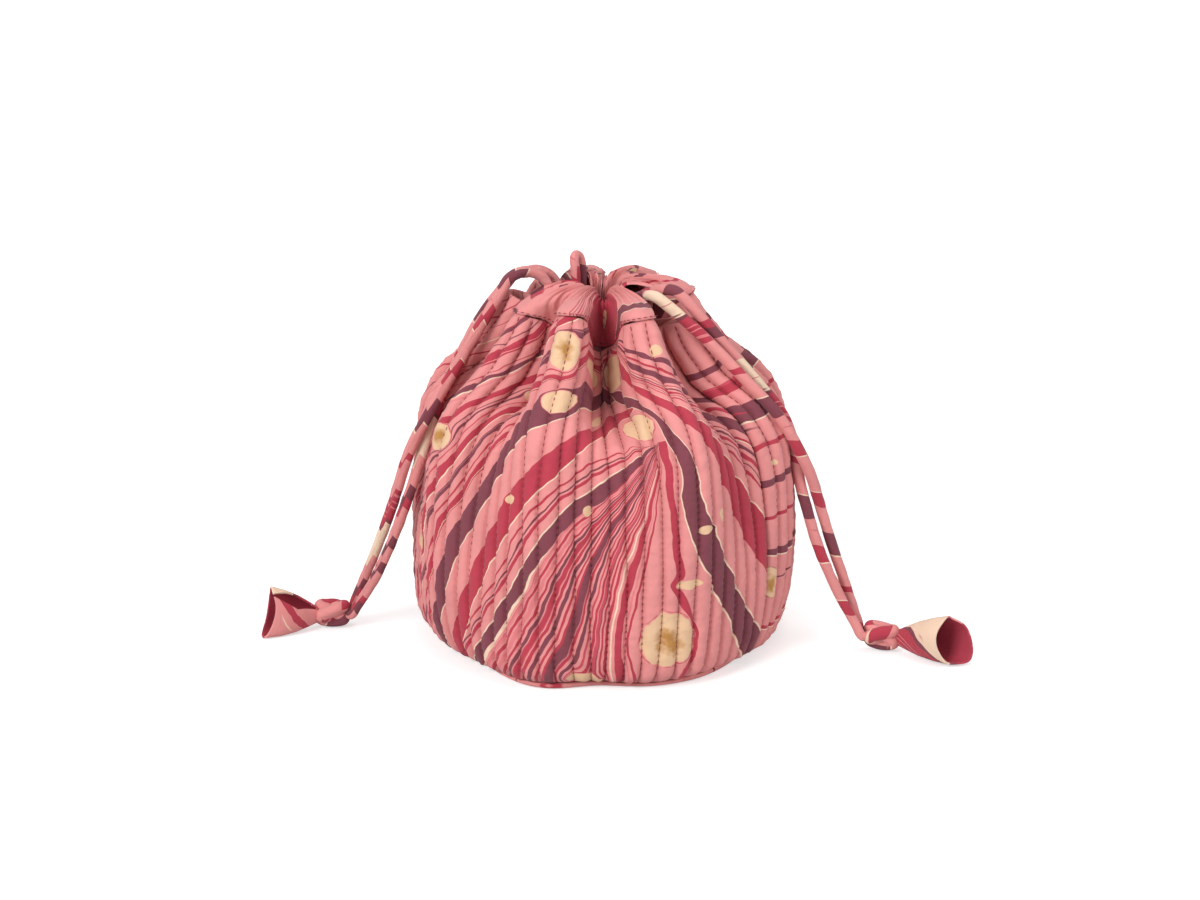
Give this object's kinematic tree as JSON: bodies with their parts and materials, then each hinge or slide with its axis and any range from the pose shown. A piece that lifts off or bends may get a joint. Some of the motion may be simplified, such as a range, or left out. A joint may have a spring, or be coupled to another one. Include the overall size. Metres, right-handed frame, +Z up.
{
  "type": "quilted drawstring pouch",
  "caption": "Soft round-bottomed pouch of channel-quilted marbled cloth, gathered at the mouth by cords with knotted, folded cloth ends",
  "frame": {"origin": "middle of the base's underside, on the ground", "axes": "+Z up through the mouth, -Y the front that the picture shows, +X to the right of the front"},
  "size_m": [0.3508, 0.1869, 0.1919],
  "materials": {
    "quilted_cloth": "matt printed cotton",
    "base_cloth": "matt printed cotton",
    "casing_cloth": "matt printed cotton",
    "cord_cloth": "matt printed cotton",
    "cord_end_cloth": "matt printed cotton"
  },
  "bodies": {
    "root": {"front_panel": "quilted_cloth", "back_panel": "quilted_cloth", "base_panel": "base_cloth", "front_casing": "casing_cloth", "back_casing": "casing_cloth", "left_cord": "cord_cloth", "right_cord": "cord_cloth", "left_knot": "cord_cloth", "right_knot": "cord_cloth", "left_bell": "cord_end_cloth", "right_bell": "cord_end_cloth"}
  },
  "joints": []
}
